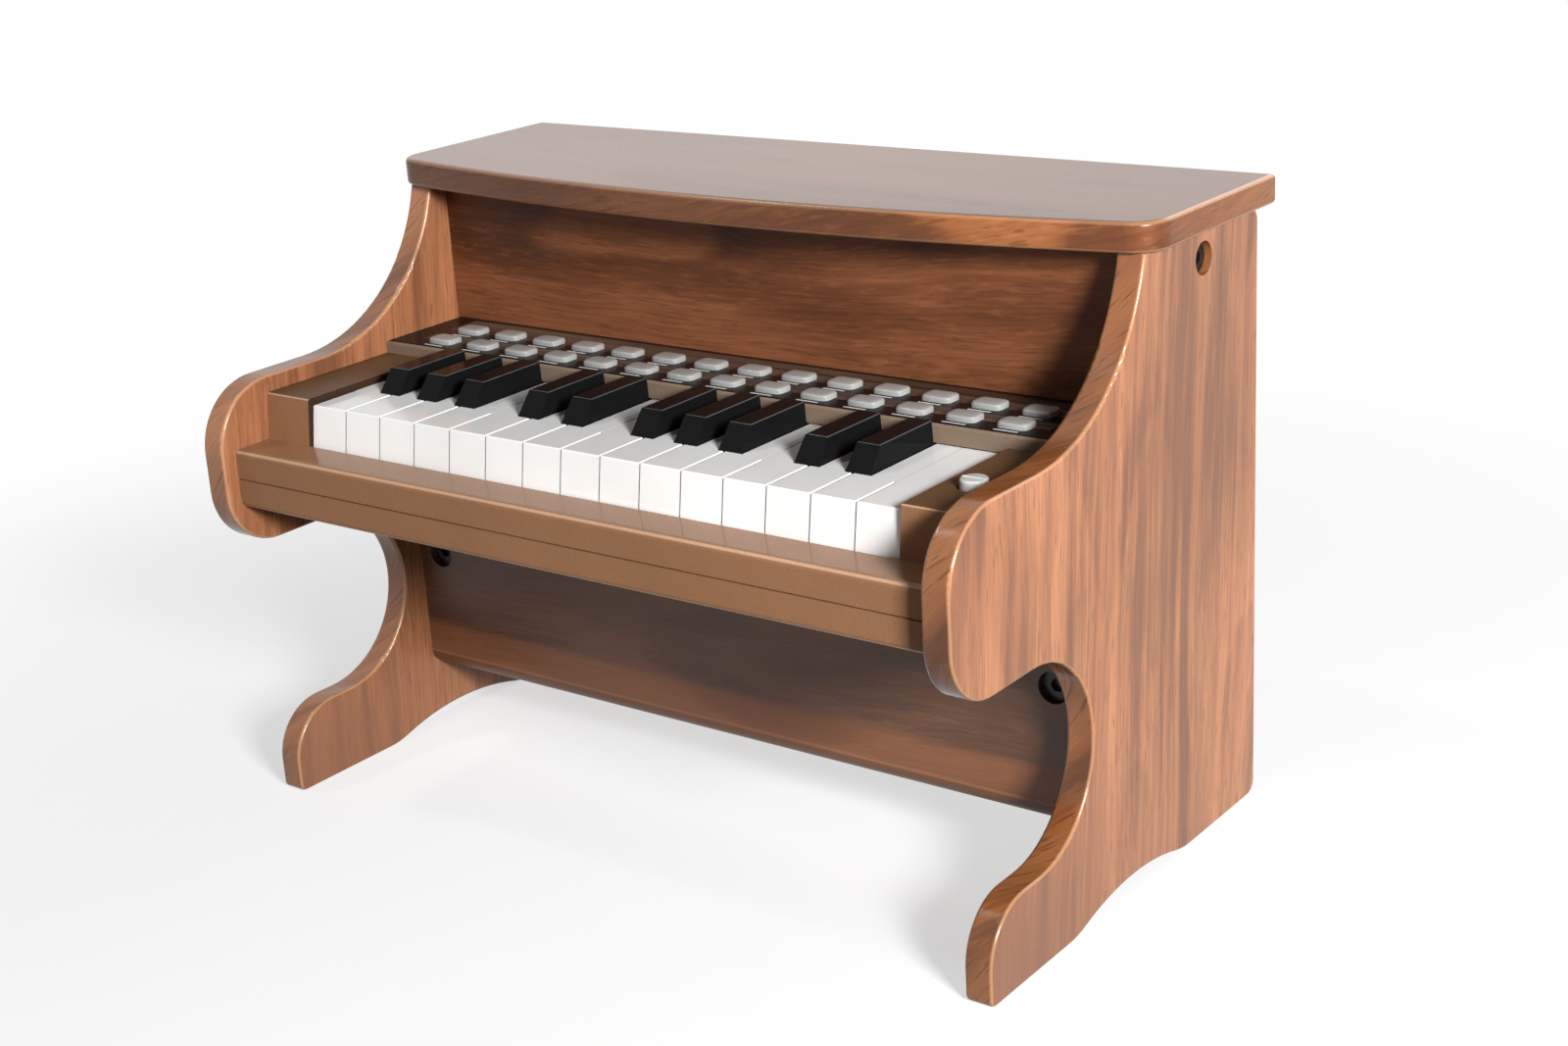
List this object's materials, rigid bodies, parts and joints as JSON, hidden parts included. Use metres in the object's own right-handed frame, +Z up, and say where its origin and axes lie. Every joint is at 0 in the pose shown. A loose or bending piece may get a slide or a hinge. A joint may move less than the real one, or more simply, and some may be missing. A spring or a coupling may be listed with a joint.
{
  "type": "toy piano",
  "caption": "Small toy upright piano: scrolled walnut-look case with a bowed lid, and a brown keyboard unit with sprung mini keys, tone buttons and a volume knob.",
  "frame": {"origin": "on the floor, under the middle of the box around the whole piano", "axes": "+X to the player's right, -Y towards the player, +Z up"},
  "size_m": [0.3862, 0.2326, 0.265],
  "materials": {
    "walnut_board": "satin walnut film",
    "batten_wood": "plain sawn",
    "brown_plastic": "satin",
    "overlay_film": "satin printed film",
    "white_key": "glossy",
    "black_key": "glossy",
    "button_plastic": "glossy",
    "knob_plastic": "satin",
    "black_bolt": "black coated",
    "steel": "plain",
    "insert_brass": "plain",
    "silicone": "matte",
    "circuit_board": "lacquered",
    "speaker_black": "matte"
  },
  "bodies": {
    "case": {"left_side_panel": "walnut_board", "right_side_panel": "walnut_board", "top_lid": "walnut_board", "upper_front_panel": "walnut_board", "knee_panel": "walnut_board", "lid_batten": "batten_wood", "corner_battens": "batten_wood", "keyboard_upper_shell": "brown_plastic", "keyboard_lower_shell": "brown_plastic", "battery_door": "brown_plastic", "button_overlay": "overlay_film", "key_hinge_rod": "steel", "key_contact_strip": "silicone", "main_circuit_board": "circuit_board", "button_circuit_board": "circuit_board", "loudspeaker": "speaker_black", "volume_potentiometer": "speaker_black", "cabinet_bolts": "black_bolt", "threaded_inserts": "insert_brass", "panhead_screws": "steel"},
    "volume_knob_body": {"volume_knob": "knob_plastic"},
    "white_key_01_body": {"white_key_01": "white_key"},
    "white_key_02_body": {"white_key_02": "white_key"},
    "white_key_03_body": {"white_key_03": "white_key"},
    "white_key_04_body": {"white_key_04": "white_key"},
    "white_key_05_body": {"white_key_05": "white_key"},
    "white_key_06_body": {"white_key_06": "white_key"},
    "white_key_07_body": {"white_key_07": "white_key"},
    "white_key_08_body": {"white_key_08": "white_key"},
    "white_key_09_body": {"white_key_09": "white_key"},
    "white_key_10_body": {"white_key_10": "white_key"},
    "white_key_11_body": {"white_key_11": "white_key"},
    "white_key_12_body": {"white_key_12": "white_key"},
    "white_key_13_body": {"white_key_13": "white_key"},
    "white_key_14_body": {"white_key_14": "white_key"},
    "white_key_15_body": {"white_key_15": "white_key"},
    "black_key_01_body": {"black_key_01": "black_key"},
    "black_key_02_body": {"black_key_02": "black_key"},
    "black_key_03_body": {"black_key_03": "black_key"},
    "black_key_04_body": {"black_key_04": "black_key"},
    "black_key_05_body": {"black_key_05": "black_key"},
    "black_key_06_body": {"black_key_06": "black_key"},
    "black_key_07_body": {"black_key_07": "black_key"},
    "black_key_08_body": {"black_key_08": "black_key"},
    "black_key_09_body": {"black_key_09": "black_key"},
    "black_key_10_body": {"black_key_10": "black_key"},
    "button_pair_01_body": {"button_pair_01": "button_plastic"},
    "button_pair_02_body": {"button_pair_02": "button_plastic"},
    "button_pair_03_body": {"button_pair_03": "button_plastic"},
    "button_pair_04_body": {"button_pair_04": "button_plastic"},
    "button_pair_05_body": {"button_pair_05": "button_plastic"},
    "button_pair_06_body": {"button_pair_06": "button_plastic"},
    "button_pair_07_body": {"button_pair_07": "button_plastic"},
    "button_pair_08_body": {"button_pair_08": "button_plastic"},
    "button_pair_09_body": {"button_pair_09": "button_plastic"},
    "button_pair_10_body": {"button_pair_10": "button_plastic"},
    "button_pair_11_body": {"button_pair_11": "button_plastic"},
    "button_pair_12_body": {"button_pair_12": "button_plastic"},
    "button_pair_13_body": {"button_pair_13": "button_plastic"},
    "button_pair_14_body": {"button_pair_14": "button_plastic"}
  },
  "joints": [
    {"name": "volume_turn", "type": "hinge", "parent": "case", "child": "volume_knob_body", "pos_m": [0.1631, -0.06025, 0.185], "axis": [0, 0, 1], "range_deg": [-135, 135]},
    {"name": "white_key_01_press", "type": "hinge", "parent": "case", "child": "white_key_01_body", "pos_m": [0, 0.01625, 0.1685], "axis": [1, 0, 0], "range_deg": [0, 2.2], "stiffness_Nm_per_rad": 0.3, "springref_deg": -10.03},
    {"name": "white_key_02_press", "type": "hinge", "parent": "case", "child": "white_key_02_body", "pos_m": [0, 0.01625, 0.1685], "axis": [1, 0, 0], "range_deg": [0, 2.2], "stiffness_Nm_per_rad": 0.3, "springref_deg": -10.03},
    {"name": "white_key_03_press", "type": "hinge", "parent": "case", "child": "white_key_03_body", "pos_m": [0, 0.01625, 0.1685], "axis": [1, 0, 0], "range_deg": [0, 2.2], "stiffness_Nm_per_rad": 0.3, "springref_deg": -10.03},
    {"name": "white_key_04_press", "type": "hinge", "parent": "case", "child": "white_key_04_body", "pos_m": [0, 0.01625, 0.1685], "axis": [1, 0, 0], "range_deg": [0, 2.2], "stiffness_Nm_per_rad": 0.3, "springref_deg": -10.03},
    {"name": "white_key_05_press", "type": "hinge", "parent": "case", "child": "white_key_05_body", "pos_m": [0, 0.01625, 0.1685], "axis": [1, 0, 0], "range_deg": [0, 2.2], "stiffness_Nm_per_rad": 0.3, "springref_deg": -10.03},
    {"name": "white_key_06_press", "type": "hinge", "parent": "case", "child": "white_key_06_body", "pos_m": [0, 0.01625, 0.1685], "axis": [1, 0, 0], "range_deg": [0, 2.2], "stiffness_Nm_per_rad": 0.3, "springref_deg": -10.03},
    {"name": "white_key_07_press", "type": "hinge", "parent": "case", "child": "white_key_07_body", "pos_m": [0, 0.01625, 0.1685], "axis": [1, 0, 0], "range_deg": [0, 2.2], "stiffness_Nm_per_rad": 0.3, "springref_deg": -10.03},
    {"name": "white_key_08_press", "type": "hinge", "parent": "case", "child": "white_key_08_body", "pos_m": [0, 0.01625, 0.1685], "axis": [1, 0, 0], "range_deg": [0, 2.2], "stiffness_Nm_per_rad": 0.3, "springref_deg": -10.03},
    {"name": "white_key_09_press", "type": "hinge", "parent": "case", "child": "white_key_09_body", "pos_m": [0, 0.01625, 0.1685], "axis": [1, 0, 0], "range_deg": [0, 2.2], "stiffness_Nm_per_rad": 0.3, "springref_deg": -10.03},
    {"name": "white_key_10_press", "type": "hinge", "parent": "case", "child": "white_key_10_body", "pos_m": [0, 0.01625, 0.1685], "axis": [1, 0, 0], "range_deg": [0, 2.2], "stiffness_Nm_per_rad": 0.3, "springref_deg": -10.03},
    {"name": "white_key_11_press", "type": "hinge", "parent": "case", "child": "white_key_11_body", "pos_m": [0, 0.01625, 0.1685], "axis": [1, 0, 0], "range_deg": [0, 2.2], "stiffness_Nm_per_rad": 0.3, "springref_deg": -10.03},
    {"name": "white_key_12_press", "type": "hinge", "parent": "case", "child": "white_key_12_body", "pos_m": [0, 0.01625, 0.1685], "axis": [1, 0, 0], "range_deg": [0, 2.2], "stiffness_Nm_per_rad": 0.3, "springref_deg": -10.03},
    {"name": "white_key_13_press", "type": "hinge", "parent": "case", "child": "white_key_13_body", "pos_m": [0, 0.01625, 0.1685], "axis": [1, 0, 0], "range_deg": [0, 2.2], "stiffness_Nm_per_rad": 0.3, "springref_deg": -10.03},
    {"name": "white_key_14_press", "type": "hinge", "parent": "case", "child": "white_key_14_body", "pos_m": [0, 0.01625, 0.1685], "axis": [1, 0, 0], "range_deg": [0, 2.2], "stiffness_Nm_per_rad": 0.3, "springref_deg": -10.03},
    {"name": "white_key_15_press", "type": "hinge", "parent": "case", "child": "white_key_15_body", "pos_m": [0, 0.01625, 0.1685], "axis": [1, 0, 0], "range_deg": [0, 2.2], "stiffness_Nm_per_rad": 0.3, "springref_deg": -10.03},
    {"name": "black_key_01_press", "type": "hinge", "parent": "case", "child": "black_key_01_body", "pos_m": [0, 0.01625, 0.1685], "axis": [1, 0, 0], "range_deg": [0, 2.2], "stiffness_Nm_per_rad": 0.3, "springref_deg": -10.03},
    {"name": "black_key_02_press", "type": "hinge", "parent": "case", "child": "black_key_02_body", "pos_m": [0, 0.01625, 0.1685], "axis": [1, 0, 0], "range_deg": [0, 2.2], "stiffness_Nm_per_rad": 0.3, "springref_deg": -10.03},
    {"name": "black_key_03_press", "type": "hinge", "parent": "case", "child": "black_key_03_body", "pos_m": [0, 0.01625, 0.1685], "axis": [1, 0, 0], "range_deg": [0, 2.2], "stiffness_Nm_per_rad": 0.3, "springref_deg": -10.03},
    {"name": "black_key_04_press", "type": "hinge", "parent": "case", "child": "black_key_04_body", "pos_m": [0, 0.01625, 0.1685], "axis": [1, 0, 0], "range_deg": [0, 2.2], "stiffness_Nm_per_rad": 0.3, "springref_deg": -10.03},
    {"name": "black_key_05_press", "type": "hinge", "parent": "case", "child": "black_key_05_body", "pos_m": [0, 0.01625, 0.1685], "axis": [1, 0, 0], "range_deg": [0, 2.2], "stiffness_Nm_per_rad": 0.3, "springref_deg": -10.03},
    {"name": "black_key_06_press", "type": "hinge", "parent": "case", "child": "black_key_06_body", "pos_m": [0, 0.01625, 0.1685], "axis": [1, 0, 0], "range_deg": [0, 2.2], "stiffness_Nm_per_rad": 0.3, "springref_deg": -10.03},
    {"name": "black_key_07_press", "type": "hinge", "parent": "case", "child": "black_key_07_body", "pos_m": [0, 0.01625, 0.1685], "axis": [1, 0, 0], "range_deg": [0, 2.2], "stiffness_Nm_per_rad": 0.3, "springref_deg": -10.03},
    {"name": "black_key_08_press", "type": "hinge", "parent": "case", "child": "black_key_08_body", "pos_m": [0, 0.01625, 0.1685], "axis": [1, 0, 0], "range_deg": [0, 2.2], "stiffness_Nm_per_rad": 0.3, "springref_deg": -10.03},
    {"name": "black_key_09_press", "type": "hinge", "parent": "case", "child": "black_key_09_body", "pos_m": [0, 0.01625, 0.1685], "axis": [1, 0, 0], "range_deg": [0, 2.2], "stiffness_Nm_per_rad": 0.3, "springref_deg": -10.03},
    {"name": "black_key_10_press", "type": "hinge", "parent": "case", "child": "black_key_10_body", "pos_m": [0, 0.01625, 0.1685], "axis": [1, 0, 0], "range_deg": [0, 2.2], "stiffness_Nm_per_rad": 0.3, "springref_deg": -10.03},
    {"name": "button_pair_01_press", "type": "slide", "parent": "case", "child": "button_pair_01_body", "axis": [0, 0, -1], "range_m": [0, 0.001], "stiffness_N_per_m": 300, "springref_m": -0.003},
    {"name": "button_pair_02_press", "type": "slide", "parent": "case", "child": "button_pair_02_body", "axis": [0, 0, -1], "range_m": [0, 0.001], "stiffness_N_per_m": 300, "springref_m": -0.003},
    {"name": "button_pair_03_press", "type": "slide", "parent": "case", "child": "button_pair_03_body", "axis": [0, 0, -1], "range_m": [0, 0.001], "stiffness_N_per_m": 300, "springref_m": -0.003},
    {"name": "button_pair_04_press", "type": "slide", "parent": "case", "child": "button_pair_04_body", "axis": [0, 0, -1], "range_m": [0, 0.001], "stiffness_N_per_m": 300, "springref_m": -0.003},
    {"name": "button_pair_05_press", "type": "slide", "parent": "case", "child": "button_pair_05_body", "axis": [0, 0, -1], "range_m": [0, 0.001], "stiffness_N_per_m": 300, "springref_m": -0.003},
    {"name": "button_pair_06_press", "type": "slide", "parent": "case", "child": "button_pair_06_body", "axis": [0, 0, -1], "range_m": [0, 0.001], "stiffness_N_per_m": 300, "springref_m": -0.003},
    {"name": "button_pair_07_press", "type": "slide", "parent": "case", "child": "button_pair_07_body", "axis": [0, 0, -1], "range_m": [0, 0.001], "stiffness_N_per_m": 300, "springref_m": -0.003},
    {"name": "button_pair_08_press", "type": "slide", "parent": "case", "child": "button_pair_08_body", "axis": [0, 0, -1], "range_m": [0, 0.001], "stiffness_N_per_m": 300, "springref_m": -0.003},
    {"name": "button_pair_09_press", "type": "slide", "parent": "case", "child": "button_pair_09_body", "axis": [0, 0, -1], "range_m": [0, 0.001], "stiffness_N_per_m": 300, "springref_m": -0.003},
    {"name": "button_pair_10_press", "type": "slide", "parent": "case", "child": "button_pair_10_body", "axis": [0, 0, -1], "range_m": [0, 0.001], "stiffness_N_per_m": 300, "springref_m": -0.003},
    {"name": "button_pair_11_press", "type": "slide", "parent": "case", "child": "button_pair_11_body", "axis": [0, 0, -1], "range_m": [0, 0.001], "stiffness_N_per_m": 300, "springref_m": -0.003},
    {"name": "button_pair_12_press", "type": "slide", "parent": "case", "child": "button_pair_12_body", "axis": [0, 0, -1], "range_m": [0, 0.001], "stiffness_N_per_m": 300, "springref_m": -0.003},
    {"name": "button_pair_13_press", "type": "slide", "parent": "case", "child": "button_pair_13_body", "axis": [0, 0, -1], "range_m": [0, 0.001], "stiffness_N_per_m": 300, "springref_m": -0.003},
    {"name": "button_pair_14_press", "type": "slide", "parent": "case", "child": "button_pair_14_body", "axis": [0, 0, -1], "range_m": [0, 0.001], "stiffness_N_per_m": 300, "springref_m": -0.003}
  ]
}
